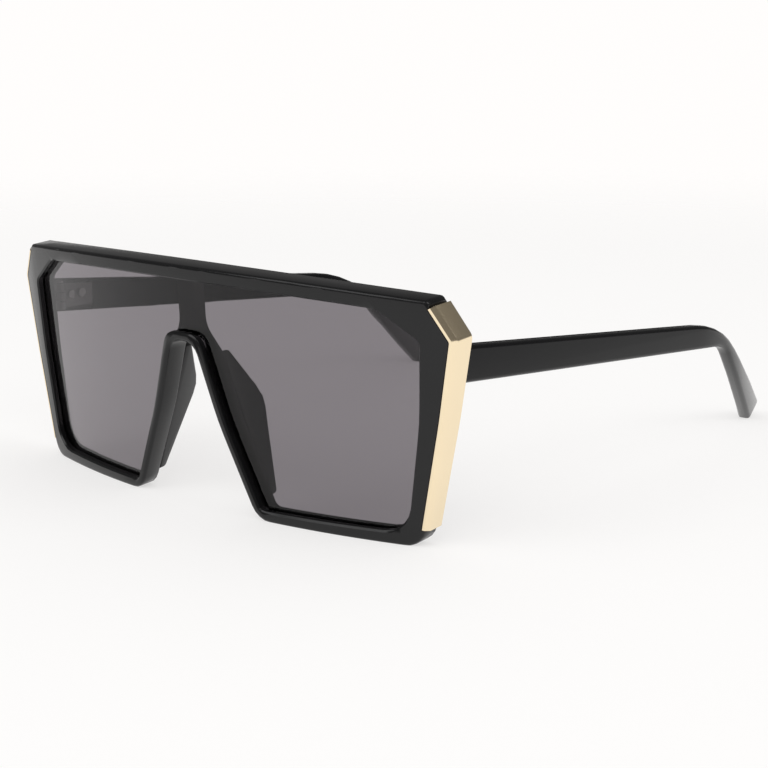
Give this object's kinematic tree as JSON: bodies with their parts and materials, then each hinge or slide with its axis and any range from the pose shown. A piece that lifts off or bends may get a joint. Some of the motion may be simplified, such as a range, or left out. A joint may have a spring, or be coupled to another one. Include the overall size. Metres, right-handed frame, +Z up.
{
  "type": "shield sunglasses",
  "caption": "Flat-topped shield sunglasses with a one-piece smoke lens in a full black rim, gold corner trims and two folding temples that hook down at the ear.",
  "frame": {"origin": "bottom centre of the bounding box of the open glasses, on the ground they stand on", "axes": "+X towards the wearer's left, +Y from the lens back to the ears, +Z up"},
  "size_m": [0.15, 0.181, 0.0623],
  "materials": {
    "frame_gloss_black": "polished black plastic rim",
    "lens_smoke": "smooth grey smoke tint, clear to about a quarter of the light",
    "trim_gold": "polished pale gold plating",
    "pad_black": "polished black plastic",
    "temple_gloss_black": "polished black plastic",
    "core_steel": "drawn wire, hidden inside the temple",
    "hinge_steel": "satin stainless steel"
  },
  "bodies": {
    "front": {"front_frame": "frame_gloss_black", "shield_lens": "lens_smoke", "corner_trim_left": "trim_gold", "corner_trim_right": "trim_gold", "nose_pad_left": "pad_black", "nose_pad_right": "pad_black", "front_hinge_left": "hinge_steel", "front_hinge_right": "hinge_steel", "hinge_screw_left": "hinge_steel", "hinge_screw_right": "hinge_steel"},
    "temple_left": {"temple_left": "temple_gloss_black", "temple_core_left": "core_steel", "temple_hinge_left": "hinge_steel", "leaf_screw_front_left": "hinge_steel", "leaf_screw_rear_left": "hinge_steel"},
    "temple_right": {"temple_right": "temple_gloss_black", "temple_core_right": "core_steel", "temple_hinge_right": "hinge_steel", "leaf_screw_front_right": "hinge_steel", "leaf_screw_rear_right": "hinge_steel"}
  },
  "joints": [
    {"name": "temple_left_fold", "type": "hinge", "parent": "front", "child": "temple_left", "pos_m": [0.0681, -0.06943, 0.0436], "axis": [0, 0, 1], "range_deg": [0, 88]},
    {"name": "temple_right_fold", "type": "hinge", "parent": "front", "child": "temple_right", "pos_m": [-0.0681, -0.06943, 0.0436], "axis": [0, 0, -1], "range_deg": [0, 77]}
  ]
}
